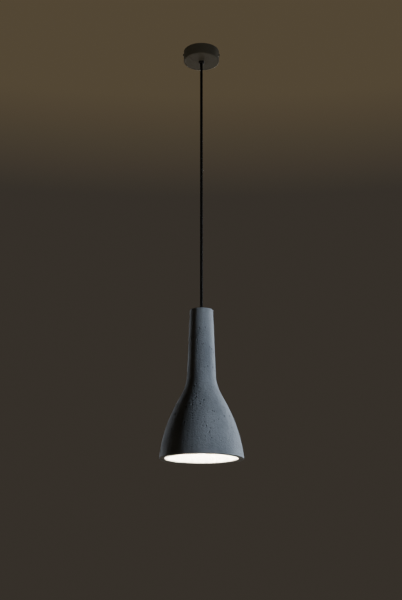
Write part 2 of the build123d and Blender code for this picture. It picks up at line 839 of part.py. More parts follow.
insulator_tip_r = 4.8
insulator_r = 8.8
insulator_edge = 1.5
cap_edge_r = 8.9
cap_shoulder_r = 10.4
cap_shoulder_round = 1.4
contact_r = 4.4
contact_height = 1.2
contact_curve_r = (contact_r**2 + contact_height**2) / (2 * contact_height)
contact_arc = math.degrees(math.asin(contact_r / contact_curve_r))
insulator_top_z = bulb_tip - contact_height
cap_top = bulb_tip - 4.2
thread_start = cap_top - cap_shoulder_round
thread_end = thread_start - thread_turns * thread_pitch
cap_low = bulb_tip - 27.0
cap_bore_r = 11.6

with BuildPart() as bulb_contact:
    with BuildSketch(Plane.XZ):
        with BuildLine():
            Line((0, insulator_top_z), (contact_r, insulator_top_z))
            JernArc((0, bulb_tip), (1, 0), contact_curve_r, -contact_arc)
            Line((0, bulb_tip), (0, insulator_top_z))
        make_face()
    revolve()
bulb_contact.part.label = "bulb_contact"
export_step(bulb_contact.part, "parts/bulb_contact.step")

with BuildPart() as bulb_insulator:
    with BuildSketch(Plane.XZ):
        with BuildLine():
            Polyline(
                (0, insulator_top_z),
                (insulator_tip_r, insulator_top_z),
                (insulator_r, cap_top),
                (insulator_r, cap_top - insulator_edge),
                (0, cap_top - insulator_edge),
                close=True,
            )
        make_face()
    revolve()
bulb_insulator.part.label = "bulb_insulator"
export_step(bulb_insulator.part, "parts/bulb_insulator.step")

with BuildPart() as bulb_cap:
    with BuildSketch(Plane.XZ):
        with BuildLine():
            Line((cap_edge_r, cap_top), (cap_shoulder_r, cap_top))
            JernArc((cap_shoulder_r, cap_top), (1, 0), cap_shoulder_round, -90)
            Line((cap_shoulder_r + cap_shoulder_round, thread_start), (cap_root_r, thread_start))
            for turn in range(thread_turns):
                crest = thread_start - (turn + 0.5) * thread_pitch
                ThreePointArc(
                    (cap_root_r, crest + thread_pitch / 2),
                    (cap_crest_r, crest),
                    (cap_root_r, crest - thread_pitch / 2),
                )
            Polyline(
                (cap_root_r, thread_end),
                (cap_crest_r, thread_end - 0.8),
                (cap_crest_r, cap_low),
                (cap_bore_r, cap_low),
                (cap_bore_r, thread_start),
                (cap_edge_r, thread_start),
                (cap_edge_r, cap_top),
            )
        make_face()
    revolve()
bulb_cap.part.label = "bulb_cap"
export_step(bulb_cap.part, "parts/bulb_cap.step")

globe_centre_z = bulb_bottom + bulb_r
seam_above_centre = 12.0
globe_seam = globe_centre_z + seam_above_centre
globe_seam_r = math.sqrt(bulb_r**2 - seam_above_centre**2)
globe_wall = 1.2
housing_top_r = 13.6
housing_waist_z = globe_seam + 22.0
housing_waist_r = 18.6
housing_wall = 1.8
plug_r = cap_bore_r - 0.1
plug_bore_r = cap_bore_r - 1.3
plug_top = cap_low + 6.0

with BuildPart() as bulb_housing:
    with BuildSketch(Plane.XZ):
        with BuildLine():
            seam_slope = (-seam_above_centre / bulb_r, globe_seam_r / bulb_r)
            seam_inner_r = globe_seam_r - housing_wall - 0.4
            Spline(
                (globe_seam_r, globe_seam),
                (housing_waist_r, housing_waist_z),
                (housing_top_r, cap_low),
                tangents=(seam_slope, (-0.1, 1.0)),
            )
            Line((housing_top_r, cap_low), (plug_r, cap_low))
            Line((plug_r, cap_low), (plug_r, plug_top))
            Line((plug_r, plug_top), (plug_bore_r, plug_top))
            Line((plug_bore_r, plug_top), (plug_bore_r, cap_low - 1.5))
            Spline(
                (plug_bore_r, cap_low - 1.5),
                (housing_waist_r - housing_wall, housing_waist_z),
                (seam_inner_r, globe_seam),
                tangents=((0.1, -1.0), (-seam_slope[0], -seam_slope[1])),
            )
            Line((seam_inner_r, globe_seam), (globe_seam_r, globe_seam))
        make_face()
    revolve()
bulb_housing.part.label = "bulb_housing"
export_step(bulb_housing.part, "parts/bulb_housing.step")

with BuildPart() as bulb_globe:
    with Locations((0, 0, globe_centre_z)):
        Sphere(bulb_r)
        Sphere(bulb_r - globe_wall, mode=Mode.SUBTRACT)
    split(bisect_by=Plane.XY.offset(globe_seam), keep=Keep.BOTTOM)
bulb_globe.part.label = "bulb_globe"
export_step(bulb_globe.part, "parts/bulb_globe.step")

led_board_r = 23.8
led_board_low = globe_seam + 0.4
led_board_thickness = 1.4
led_board_hole_r = 2.0
led_ring_r = 17.0
led_count = 10
led_width = 2.8
led_length = 3.5
led_height = 0.7

with BuildPart() as led_board:
    with BuildSketch(Plane.XY.offset(led_board_low)):
        Circle(led_board_r)
        Circle(led_board_hole_r, mode=Mode.SUBTRACT)
    extrude(amount=led_board_thickness)
led_board.part.label = "led_board"
export_step(led_board.part, "parts/led_board.step")

with BuildPart() as led_chips:
    with BuildSketch(Plane.XY.offset(led_board_low)):
        with PolarLocations(led_ring_r, led_count):
            Rectangle(led_width, led_length)
    extrude(amount=-led_height)
led_chips.part.label = "led_chips"
export_step(led_chips.part, "parts/led_chips.step")

driver_low = led_board_low + led_board_thickness + 1.0
driver_thickness = 1.2
driver_width = 18.0
driver_length = 32.0
capacitor_r = 4.1
capacitor_length = 12.0
coil_width = 9.0
coil_depth = 7.0
coil_length = 8.0
chip_width = 6.0
chip_depth = 3.6
chip_length = 5.0
part_gap = 0.1  # between the driver board and what stands on it

with BuildPart() as driver_board:
    with BuildSketch(Plane.XY.offset(driver_low)):
        Rectangle(driver_width, driver_thickness)
    extrude(amount=driver_length)
driver_board.part.label = "driver_board"
export_step(driver_board.part, "parts/driver_board.step")

with BuildPart() as driver_parts:
    with BuildSketch(Plane.XY.offset(driver_low + 4.0)):
        with Locations((-3.0, driver_thickness / 2 + capacitor_r + part_gap)):
            Circle(capacitor_r)
    extrude(amount=capacitor_length)
    with BuildSketch(Plane.XY.offset(driver_low + 5.0)):
        with Locations((0, -driver_thickness / 2 - coil_depth / 2 - part_gap)):
            Rectangle(coil_width, coil_depth)
    extrude(amount=coil_length)
    with BuildSketch(Plane.XY.offset(driver_low + 19.0)):
        with Locations((0, driver_thickness / 2 + chip_depth / 2 + part_gap)):
            Rectangle(chip_width, chip_depth)
    extrude(amount=chip_length)
driver_parts.part.label = "driver_parts"
export_step(driver_parts.part, "parts/driver_parts.step")
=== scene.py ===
import json
import math

import bmesh
import bpy
import numpy as np
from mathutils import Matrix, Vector, noise
from mathutils.kdtree import KDTree


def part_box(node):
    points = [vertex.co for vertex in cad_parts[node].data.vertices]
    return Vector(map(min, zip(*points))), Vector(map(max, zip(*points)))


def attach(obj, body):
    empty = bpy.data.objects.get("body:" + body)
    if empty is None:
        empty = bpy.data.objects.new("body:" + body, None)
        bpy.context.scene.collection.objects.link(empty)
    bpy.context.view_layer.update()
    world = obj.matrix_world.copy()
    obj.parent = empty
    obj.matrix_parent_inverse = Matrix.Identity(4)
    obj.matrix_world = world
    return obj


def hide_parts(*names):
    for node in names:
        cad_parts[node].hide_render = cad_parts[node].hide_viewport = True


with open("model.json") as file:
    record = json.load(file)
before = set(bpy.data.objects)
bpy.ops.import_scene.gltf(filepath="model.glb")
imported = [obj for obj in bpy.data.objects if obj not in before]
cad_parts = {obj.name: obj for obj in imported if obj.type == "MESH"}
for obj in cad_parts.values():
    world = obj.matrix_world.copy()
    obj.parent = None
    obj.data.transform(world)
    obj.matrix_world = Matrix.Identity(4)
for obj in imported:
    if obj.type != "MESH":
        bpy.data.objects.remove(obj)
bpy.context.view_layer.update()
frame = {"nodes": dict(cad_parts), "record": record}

MM = 0.001
TURN = 2 * math.pi

# ---- Camera and the studio round the lamp ----

CAMERA_LENS = 59.7
CAMERA_DISTANCE = 2.02
CAMERA_HEIGHT = -1.184
CAMERA_PITCH = math.radians(16.38)
CAMERA_SIDE = -0.0009
FLOOR_Z = -3.2
FLOOR_HALF = 40.0
DARK_SIDE = (-0.72, -0.69, 0.0)


def aim(obj, target):
    """Turns a light so that it shines at a point."""
    direction = Vector(target) - obj.location
    obj.rotation_euler = direction.to_track_quat("-Z", "Y").to_euler()


def make_camera():
    camera = bpy.data.objects.new("camera", bpy.data.cameras.new("camera"))
    camera.data.lens = CAMERA_LENS
    camera.location = (CAMERA_SIDE, -CAMERA_DISTANCE, CAMERA_HEIGHT)
    camera.rotation_euler = (math.pi / 2 + CAMERA_PITCH, 0, 0)
    bpy.context.scene.collection.objects.link(camera)
    bpy.context.scene.camera = camera


def area_light(name, azimuth, height, distance, size, power, colour, target_z, spread=180):
    """A soft light. Azimuth 0 is in front of the lamp and 90 to its right; spread narrows the beam."""
    light = bpy.data.lights.new(name, "AREA")
    light.shape = "RECTANGLE"
    light.size, light.size_y = size
    light.energy = power
    light.color = colour
    light.spread = math.radians(spread)
    obj = bpy.data.objects.new(name, light)
    a = math.radians(azimuth)
    obj.location = (distance * math.sin(a), -distance * math.cos(a), height)
    bpy.context.scene.collection.objects.link(obj)
    aim(obj, (0, 0, target_z))


def make_lights():
    """Three narrow beams on the shade, faint ones on the rose, and wide weak light from behind and above."""
    area_light("key_light", 61, -0.76, 2.6, (0.6, 0.5), 2.6, (0.87, 0.965, 1.07), -0.76, 32)
    area_light("edge_light", 127, -0.76, 2.6, (0.5, 0.5), 3.8, (0.88, 0.96, 1.05), -0.76, 32)
    area_light("rim_light", -139, -0.76, 2.6, (0.7, 0.5), 1.2, (0.92, 0.96, 1.02), -0.76, 32)
    area_light("back_light", 176, -0.2, 3.0, (1.6, 1.8), 6, (1.0, 0.97, 0.93), -0.6, 90)
    area_light("rose_light", 180, 0.7, 2.2, (0.6, 0.6), 0.7, (1.0, 0.97, 0.93), -0.01, 40)
    area_light("rose_fill", -45, -0.35, 2.2, (0.5, 0.5), 0.065, (1.0, 0.96, 0.86), 0.0, 20)
    area_light("top_light", 150, 1.6, 1.2, (1.2, 1.2), 5, (1.0, 0.98, 0.95), -0.3)
    area_light("floor_bounce", 90, -1.9, 0.02, (1.0, 1.0), 0.5, (1.0, 0.82, 0.60), 0, 70)


# ---- Materials ----

GLOBE_EMISSION = 1000.0


class Shader:
    """A node material with its Principled shader and short ways to add nodes."""

    def __init__(self, name, **sockets):
        self.material = bpy.data.materials.new(name)
        self.material.use_nodes = True
        self.tree = self.material.node_tree
        self.principled = self.tree.nodes["Principled BSDF"]
        for socket, value in sockets.items():
            self.principled.inputs[socket.replace("_", " ")].default_value = value
        self.place = self.node("ShaderNodeTexCoord").outputs["Object"]

    def node(self, kind, **settings):
        made = self.tree.nodes.new(kind)
        for key, value in settings.items():
            setattr(made, key, value)
        return made

    def link(self, output, target):
        self.tree.links.new(output, target)

    def feed(self, output, socket):
        self.link(output, self.principled.inputs[socket])

    def stretched(self, scale):
        """The object's coordinates times a scale along each axis."""
        mapping = self.node("ShaderNodeMapping")
        mapping.inputs["Scale"].default_value = scale
        self.link(self.place, mapping.inputs["Vector"])
        return mapping.outputs["Vector"]

    def noise(self, scale, detail=3.0, roughness=0.55, place=None):
        made = self.node("ShaderNodeTexNoise")
        made.inputs["Scale"].default_value = scale
        made.inputs["Detail"].default_value = detail
        made.inputs["Roughness"].default_value = roughness
        self.link(place or self.place, made.inputs["Vector"])
        return made.outputs["Fac"]

    def cells(self, scale, place=None):
        made = self.node("ShaderNodeTexVoronoi")
        made.inputs["Scale"].default_value = scale
        self.link(place or self.place, made.inputs["Vector"])
        return made.outputs["Distance"]

    def waves(self, scale, direction, distortion=0.0, place=None):
        made = self.node("ShaderNodeTexWave", bands_direction=direction)
        made.inputs["Scale"].default_value = scale
        made.inputs["Distortion"].default_value = distortion
        self.link(place or self.place, made.inputs["Vector"])
        return made.outputs["Fac"]

    def ramp(self, value, *stops):
        """A ramp from position and colour pairs; a number stands for a grey."""
        made = self.node("ShaderNodeValToRGB")
        elements = made.color_ramp.elements
        while len(elements) < len(stops):
            elements.new(0.5)
        for element, (position, colour) in zip(elements, stops):
            element.position = position
            element.color = (colour,) * 3 + (1,) if isinstance(colour, (int, float)) else (*colour, 1)
        self.link(value, made.inputs["Fac"])
        return made.outputs["Color"]

    def mix(self, share, first, second, blend="MIX"):
        """Mixes two colours; each is an output or a plain colour."""
        made = self.node("ShaderNodeMix", data_type="RGBA", blend_type=blend)
        for socket, value in ((0, share), (6, first), (7, second)):
            if isinstance(value, (int, float)):
                made.inputs[socket].default_value = value
            elif isinstance(value, tuple):
                made.inputs[socket].default_value = (*value, 1)
            else:
                self.link(value, made.inputs[socket])
        return made.outputs[2]

    def bump(self, height, distance, strength=1.0, under=None):
        made = self.node("ShaderNodeBump")
        made.inputs["Strength"].default_value = strength
        made.inputs["Distance"].default_value = distance
        self.link(height, made.inputs["Height"])
        if under is not None:
            self.link(under, made.inputs["Normal"])
        return made.outputs["Normal"]


def concrete_material():
    s = Shader("concrete", Specular_IOR_Level=0.28)
    clouds = s.ramp(s.noise(14, 5, 0.6), (0.32, (0.130, 0.146, 0.166)), (0.68, (0.205, 0.224, 0.246)))
    streaks = s.noise(60, 4, 0.6, s.stretched((1, 1, 0.12)))
    grain = s.noise(900, 3, 0.7)
    colour = s.mix(s.ramp(streaks, (0.35, 0.0), (0.75, 0.45)), clouds, (0.240, 0.262, 0.285))
    colour = s.mix(0.35, colour, s.ramp(grain, (0.25, 0.55), (0.75, 1.25)), "MULTIPLY")
    # Small pores: painted shade, a dark colour where shade falls inside them, as well as a bump
    pores = s.ramp(s.cells(420), (0.10, 0.0), (0.24, 1.0))
    sparse = s.ramp(s.noise(70, 2), (0.45, 1.0), (0.60, 0.0))
    pores = s.mix(1.0, pores, sparse, "SCREEN")
    s.feed(s.mix(pores, (0.055, 0.060, 0.068), colour), "Base Color")
    s.feed(s.ramp(s.noise(45, 4), (0.3, 0.78), (0.7, 0.95)), "Roughness")
    broad = s.bump(s.noise(130, 3, 0.6), 0.0012, 0.8)
    coarse = s.bump(s.noise(340, 4, 0.7, s.stretched((1, 1, 0.7))), 0.0009, 1.0, broad)
    fine = s.bump(grain, 0.0003, 0.8, coarse)
    s.feed(s.bump(pores, 0.0008, 0.9, fine), "Normal")
    return s.material


def textile_material():
    s = Shader("textile_cord", Roughness=0.9, Specular_IOR_Level=0.12)
    s.principled.inputs["Sheen Weight"].default_value = 0.03
    s.principled.inputs["Sheen Roughness"].default_value = 0.5
    yarn = s.noise(1400, 3, 0.6, s.stretched((1, 1, 0.35)))
    s.feed(s.ramp(yarn, (0.3, (0.002, 0.002, 0.0022)), (0.75, (0.009, 0.0088, 0.0085))), "Base Color")
    s.feed(s.bump(yarn, 0.0002, 0.8), "Normal")
    return s.material


def rose_material():
    s = Shader("rose_paint", Specular_IOR_Level=0.3)
    tone = s.noise(22, 3)
    s.feed(s.ramp(tone, (0.3, (0.116, 0.108, 0.082)), (0.7, (0.146, 0.136, 0.105))), "Base Color")
    s.feed(s.ramp(s.noise(300, 3), (0.3, 0.52), (0.7, 0.66)), "Roughness")
    s.feed(s.bump(s.noise(1600, 2), 0.00012, 0.5), "Normal")
    return s.material


def metal_material(name, dark, light, low_roughness, high_roughness, grain_scale=(1, 1, 12)):
    """Bare metal between two tones, with its roughness drawn out into a fine grain."""
    s = Shader(name, Metallic=1.0)
    grain = s.noise(700, 3, 0.6, s.stretched(grain_scale))
    s.feed(s.ramp(s.noise(90, 4), (0.3, dark), (0.7, light)), "Base Color")
    s.feed(s.ramp(grain, (0.25, low_roughness), (0.75, high_roughness)), "Roughness")
    s.feed(s.bump(grain, 0.00006, 0.5), "Normal")
    return s.material


def plastic_material(name, dark, light, roughness, texture_depth=0.00005, **sockets):
    """A moulded or lacquered surface between two tones, with a fine texture of a depth in metres."""
    s = Shader(name, **sockets)
    s.feed(s.ramp(s.noise(120, 3), (0.3, dark), (0.7, light)), "Base Color")
    s.feed(s.ramp(s.noise(240, 3), (0.3, roughness - 0.06), (0.7, roughness + 0.06)), "Roughness")
    s.feed(s.bump(s.noise(2200, 2), texture_depth, 0.5), "Normal")
    return s.material


def striped_material():
    """Green insulation with a yellow stripe, as bands along the lead."""
    s = Shader("earth_insulation", Roughness=0.42)
    bands = s.waves(110, "DIAGONAL")
    s.feed(s.ramp(bands, (0.47, (0.05, 0.22, 0.03)), (0.53, (0.62, 0.55, 0.03))), "Base Color")
    s.feed(s.bump(s.noise(1500, 2), 0.00004, 0.4), "Normal")
    return s.material


def ceramic_material():
    s = Shader("steatite", Specular_IOR_Level=0.4)
    s.feed(s.ramp(s.noise(160, 4), (0.3, (0.62, 0.60, 0.55)), (0.7, (0.72, 0.70, 0.65))), "Base Color")
    s.feed(s.ramp(s.noise(500, 3), (0.3, 0.55), (0.7, 0.72)), "Roughness")
    s.feed(s.bump(s.noise(1800, 2), 0.00008, 0.5), "Normal")
    return s.material


def rubber_material():
    s = Shader("rubber", Specular_IOR_Level=0.35)
    tone = s.noise(400, 4)
    s.feed(s.ramp(tone, (0.3, (0.010, 0.010, 0.010)), (0.7, (0.022, 0.021, 0.020))), "Base Color")
    s.feed(s.ramp(s.noise(260, 3), (0.3, 0.72), (0.7, 0.88)), "Roughness")
    s.feed(s.bump(s.noise(2400, 2), 0.0001, 0.6), "Normal")
    return s.material


def opal_material():
    """The lit globe: slightly cloudy opal that gives a strong warm light."""
    s = Shader("opal_globe", Roughness=0.35)
    s.principled.inputs["Emission Strength"].default_value = GLOBE_EMISSION
    cloud = s.noise(60, 2)
    s.feed(s.ramp(cloud, (0.3, (0.86, 0.85, 0.82)), (0.7, (0.90, 0.89, 0.86))), "Base Color")
    s.feed(s.ramp(cloud, (0.2, (1.0, 0.80, 0.56)), (0.8, (1.0, 0.83, 0.60))), "Emission Color")
    return s.material


def phosphor_material():
    s = Shader("led_phosphor", Roughness=0.3)
    s.principled.inputs["Emission Strength"].default_value = 8.0
    s.feed(s.ramp(s.noise(500, 2), (0.3, (0.85, 0.62, 0.10)), (0.7, (0.92, 0.70, 0.16))), "Base Color")
    s.feed(s.ramp(s.noise(500, 2), (0.3, (1.0, 0.76, 0.45)), (0.7, (1.0, 0.80, 0.50))), "Emission Color")
    return s.material


PLASTICS = {
    "blackened_steel": ((0.018, 0.018, 0.019), (0.030, 0.029, 0.028), 0.38),
    "live_insulation": ((0.085, 0.030, 0.012), (0.105, 0.040, 0.018), 0.42),
    "neutral_insulation": ((0.008, 0.060, 0.260), (0.012, 0.075, 0.300), 0.42),
    "black_nylon": ((0.008, 0.008, 0.009), (0.014, 0.014, 0.014), 0.50, 0.0001),
    "phenolic": ((0.007, 0.007, 0.007), (0.013, 0.012, 0.011), 0.34, 0.00001),
    "cap_insulator": ((0.006, 0.006, 0.007), (0.010, 0.010, 0.011), 0.18),
    "bulb_plastic": ((0.76, 0.76, 0.74), (0.80, 0.80, 0.78), 0.32, 0.00001),
    "led_board_aluminium": ((0.78, 0.79, 0.79), (0.83, 0.84, 0.84), 0.36),
    "circuit_board": ((0.012, 0.075, 0.022), (0.018, 0.095, 0.030), 0.34),
    "driver_cases": ((0.010, 0.010, 0.012), (0.020, 0.020, 0.022), 0.40),
}
METALS = {
    "zinc_steel": ((0.40, 0.40, 0.38), (0.52, 0.52, 0.49), 0.28, 0.44),
    "brass": ((0.66, 0.46, 0.18), (0.76, 0.56, 0.25), 0.22, 0.38),
    "tinned_copper": ((0.58, 0.56, 0.52), (0.68, 0.66, 0.62), 0.28, 0.45),
    "solder": ((0.48, 0.48, 0.47), (0.62, 0.62, 0.60), 0.38, 0.62, (1, 1, 1)),
    "nickel_cap": ((0.66, 0.64, 0.60), (0.74, 0.72, 0.68), 0.16, 0.30),
}


def make_materials():
    """One material for each slot of the record, by the slot's name."""
    made = {
        "concrete": concrete_material(),
        "rose_paint": rose_material(),
        "white_polyamide": plastic_material(
            "white_polyamide", (0.66, 0.65, 0.60), (0.72, 0.71, 0.66), 0.48, Subsurface_Weight=0.1
        ),
        "earth_insulation": striped_material(),
        "textile_cord": textile_material(),
        "steatite": ceramic_material(),
        "rubber": rubber_material(),
        "opal_globe": opal_material(),
        "led_phosphor": phosphor_material(),
    }
    made.update({name: plastic_material(name, *finish) for name, finish in PLASTICS.items()})
    made.update({name: metal_material(name, *finish) for name, finish in METALS.items()})
    return made


def paint_frame():
    """Gives every carried-over CAD node the material of its slot."""
    for part in frame["record"]["subparts"]:
        node = frame["nodes"][part["node"]]
        node.data.materials.clear()
        node.data.materials.append(materials[part["material_slot"]])


# ---- Mesh helpers ----


def grid_faces(rows, columns, first=0, close_rows=False):
    """Quads over a grid of points that closes on itself along its columns."""
    i = np.arange(rows if close_rows else rows - 1)[:, None]
    j = np.arange(columns)[None, :]
    a = first + i * columns + j
    b = first + i * columns + (j + 1) % columns
    c = first + ((i + 1) % rows) * columns + (j + 1) % columns
    d = first + ((i + 1) % rows) * columns + j
    return np.stack([a, b, c, d], axis=-1).reshape(-1, 4)


def add_piece(name, points, faces, slot, body, *nodes):
    """A smooth mesh object in a slot's material that rides on a body and stands for CAD nodes."""
    mesh = bpy.data.meshes.new(name)
    mesh.from_pydata([tuple(p) for p in points], [], [tuple(f) for f in faces])
    mesh.validate()
    mesh.shade_smooth()
    mesh.materials.append(materials[slot])
    piece = bpy.data.objects.new(name, mesh)
    bpy.context.scene.collection.objects.link(piece)
    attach(piece, body)
    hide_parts(*nodes)
    return piece


# ---- Textile cord: a dark core under sixteen interlaced strands ----

CORD_RADIUS = 3.0 * MM
CORD_DIAMETER = 2 * CORD_RADIUS
STRANDS_EACH_WAY = 8
BRAID_LEAN = math.radians(32)
STRAND_HALF_WIDTH = 0.66 * MM
STRAND_HALF_DEPTH = 0.20 * MM
STRAND_LIFT = 0.10 * MM
CORE_RADIUS = 2.62 * MM
KNUCKLE_RADIUS = 2.72 * MM
SAMPLES_PER_CROSSING = 3
STRAND_SECTION = ((1, -0.35), (0.45, 0.85), (-0.45, 0.85), (-1, -0.35))
KNUCKLE_ROWS = 24
KNUCKLE_COLUMNS = 64
CORE_ROWS = 60
CORE_COLUMNS = 16


def cord_route():
    """Points along the cord, read from its smooth spline, from the pivot at the grip down to the bushing."""
    top = sum(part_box("cord_bend"), Vector()) / 2
    end = Vector((0, 0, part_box("cord")[0].z))
    near_end = Vector((0, 0, 6 * CORD_DIAMETER))
    curve = bpy.data.curves.new("cord_route", "CURVE")
    curve.dimensions = "3D"
    spline = curve.splines.new("NURBS")
    controls = (top, top - near_end, end + near_end, end)
    spline.points.add(len(controls) - 1)
    for point, place in zip(spline.points, controls):
        point.co = (*place, 1)
    spline.order_u = 3
    spline.use_endpoint_u = True
    route = bpy.data.objects.new("cord_route", curve)
    line = bpy.data.meshes.new_from_object(route)
    points = [v.co.copy() for v in line.vertices]
    bpy.data.objects.remove(route)
    bpy.data.curves.remove(curve)
    bpy.data.meshes.remove(line)
    return points


def domed(radius, height_above_pivot):
    """A radius that closes in a dome above the pivot, so that the end turns freely in the grip."""
    if height_above_pivot <= 0:
        return radius
    return radius * math.sqrt(max(0.0, 1 - (height_above_pivot / CORD_RADIUS) ** 2))


def strand(way, index, top_z, pivot_z, low_z):
    """The points of one strand: way is 1 or -1 for the two directions of the braid."""
    twist = math.tan(BRAID_LEAN) / CORD_RADIUS
    crossing = TURN / STRANDS_EACH_WAY / (2 * twist)
    count = int((top_z - low_z) / crossing * SAMPLES_PER_CROSSING)
    middle = CORD_RADIUS - STRAND_HALF_DEPTH - STRAND_LIFT
    rings = []
    for z in np.linspace(top_z, low_z, count):
        angle = way * twist * z + TURN * index / STRANDS_EACH_WAY
        met = (angle + way * twist * z) * STRANDS_EACH_WAY / TURN
        lift = way * STRAND_LIFT * math.cos(math.pi * (met + index))
        radius = domed(middle + lift, z - pivot_z)
        out = Vector((math.cos(angle), math.sin(angle), 0))
        aside = way * math.sin(BRAID_LEAN)
        along = Vector((-out.y * aside, out.x * aside, math.cos(BRAID_LEAN)))
        across = along.cross(out).normalized()
        centre = out * radius + Vector((0, 0, z))
        width = STRAND_HALF_WIDTH * min(1.0, 0.25 + radius / middle)
        for u, v in STRAND_SECTION:
            rings.append(centre + across * (u * width) + out * (v * STRAND_HALF_DEPTH))
    return rings, count


def make_cord_knuckle():
    """The short bend at the grip, as a braided ball just inside the cord's domed end."""
    low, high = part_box("cord_bend")
    centre = (low + high) / 2
    twist = math.tan(BRAID_LEAN) / CORD_RADIUS
    points = []
    for i in range(KNUCKLE_ROWS):
        tilt = math.pi * (i + 0.5) / KNUCKLE_ROWS
        z = KNUCKLE_RADIUS * math.cos(tilt)
        for j in range(KNUCKLE_COLUMNS):
            angle = TURN * j / KNUCKLE_COLUMNS
            over = math.cos(STRANDS_EACH_WAY * (angle + twist * z))
            under = math.cos(STRANDS_EACH_WAY * (angle - twist * z))
            radius = (KNUCKLE_RADIUS + STRAND_LIFT * (max(over, under) - 1)) * math.sin(tilt)
            points.append(centre + Vector((radius * math.cos(angle), radius * math.sin(angle), z)))
    faces = grid_faces(KNUCKLE_ROWS, KNUCKLE_COLUMNS)[:, ::-1].tolist()
    faces.append(list(range(KNUCKLE_COLUMNS)))
    faces.append([(KNUCKLE_ROWS - 1) * KNUCKLE_COLUMNS + j for j in reversed(range(KNUCKLE_COLUMNS))])
    return add_piece("cord_knuckle", points, faces, "textile_cord", "cord_pivot", "cord_bend")


def make_cord():
    """The straight cord: the strands and, under them, the core, as one mesh along the route."""
    route = cord_route()
    knuckle_piece = make_cord_knuckle()
    pivot_z, low_z = route[0].z, route[-1].z
    top_z = pivot_z + 0.9 * CORD_RADIUS
    points, faces = [], []
    for way in (1, -1):
        for index in range(STRANDS_EACH_WAY):
            ring_points, count = strand(way, index, top_z, pivot_z, low_z)
            faces.extend(grid_faces(count, 4, len(points)).tolist())
            faces.append([len(points) + k for k in (3, 2, 1, 0)])
            faces.append([len(points) + 4 * (count - 1) + k for k in (0, 1, 2, 3)])
            points.extend(ring_points)
    core_z = [pivot_z + h * CORE_RADIUS for h in (0.95, 0.8, 0.55, 0.25)]
    core_z += np.linspace(pivot_z, low_z, CORE_ROWS).tolist()
    first = len(points)
    for z in core_z:
        radius = domed(CORE_RADIUS, (z - pivot_z) * CORD_RADIUS / CORE_RADIUS)
        for j in range(CORE_COLUMNS):
            angle = TURN * j / CORE_COLUMNS
            points.append((radius * math.cos(angle), radius * math.sin(angle), z))
    faces.extend(grid_faces(len(core_z), CORE_COLUMNS, first).tolist())
    faces.append([first + j for j in range(CORE_COLUMNS)])
    last = first + (len(core_z) - 1) * CORE_COLUMNS
    faces.append([last + j for j in reversed(range(CORE_COLUMNS))])
    piece = add_piece("textile_cord", points, faces, "textile_cord", "suspension", "cord")


# ---- Concrete shade: the cast outline with softened edges, slight waviness and open air pits ----

NECK_LENGTH = 140.11 * MM
NECK_LEAN = 2.29
NECK_TOP_RADIUS = 24.4 * MM
CONE_ANGLE = 27.7
FLARE_RADIUS = 90 * MM
CONE_LENGTH = 26.3 * MM
BELLY_RADIUS = 314.5 * MM
EDGE_ROUND = 1.4 * MM
RIM_ROUND = 1.9 * MM
WASHER_GAP = 0.05 * MM
WEB_THICKNESS = 14 * MM - WASHER_GAP
WEB_CORNER_ROUND = 1.5 * MM
HOLE_RADIUS = 6 * MM
HOLE_LIP_ROUND = 0.8 * MM
INNER_NECK_TOP_RADIUS = 16.4 * MM
INNER_NECK_LEAN = 2.47
INNER_NECK_LENGTH = 130.12 * MM
INNER_FLARE_RADIUS = 98 * MM
INNER_CONE_LENGTH = 25.64 * MM
INNER_BELLY_RADIUS = 258 * MM
OUTER_STEP = 1.6 * MM
INNER_STEP = 5.0 * MM
SHADE_COLUMNS = 300
PIT_COUNT = 760
WAVE_DEPTH = 0.35 * MM
PIT_DEPTH_SHARE = 0.85
PIT_SEED = 12


class Outline:
    """Points (radius, z) drawn by going straight and turning; the heading is counted outwards from down."""

    def __init__(self, radius, z, heading, step):
        self.points = [(radius, z)]
        self.heading = math.radians(heading)
        self.step = step

    def go(self, length):
        radius, z = self.points[-1]
        count = max(1, round(length / self.step))
        for k in range(1, count + 1):
            s = length * k / count
            self.points.append((radius + s * math.sin(self.heading), z - s * math.cos(self.heading)))

    def turn(self, bend_radius, degrees):
        """An arc; positive degrees turn the heading outwards."""
        radius, z = self.points[-1]
        angle = math.radians(degrees)
        side = math.copysign(1, angle)
        count = max(3, round(bend_radius * abs(angle) / self.step))
        start = self.heading
        for k in range(1, count + 1):
            h = start + angle * k / count
            self.points.append(
                (
                    radius + side * bend_radius * (math.cos(start) - math.cos(h)),
                    z - side * bend_radius * (math.sin(h) - math.sin(start)),
                )
            )
        self.heading = start + angle


def belly_turn(outline, bend_radius, mouth_z):
    """The angle that the belly's arc turns through before it reaches the mouth."""
    drop = outline.points[-1][1] - mouth_z
    return math.degrees(math.asin(math.sin(outline.heading) - drop / bend_radius) - outline.heading)


def wall_points(top_radius, top_z, lean, neck, flare, cone, belly, mouth_z, step):
    """A wall's outline from its top: straight neck, flare, straight cone and the belly's arc to the mouth."""
    wall = Outline(top_radius, top_z, lean, step)
    wall.go(neck)
    wall.turn(flare, CONE_ANGLE - lean)
    wall.go(cone)
    wall.turn(belly, belly_turn(wall, belly, mouth_z))
    return wall.points


def rounded(before, corner, after, radius, count=5):
    """Points of a round corner between two straight directions, as a quadratic curve."""
    middle = np.array(corner)
    a = middle + (np.array(before) - corner) * radius / np.linalg.norm(np.array(before) - corner)
    b = middle + (np.array(after) - corner) * radius / np.linalg.norm(np.array(after) - corner)
    return [tuple((1 - t) ** 2 * a + 2 * t * (1 - t) * middle + t * t * b) for t in np.linspace(0, 1, count)]


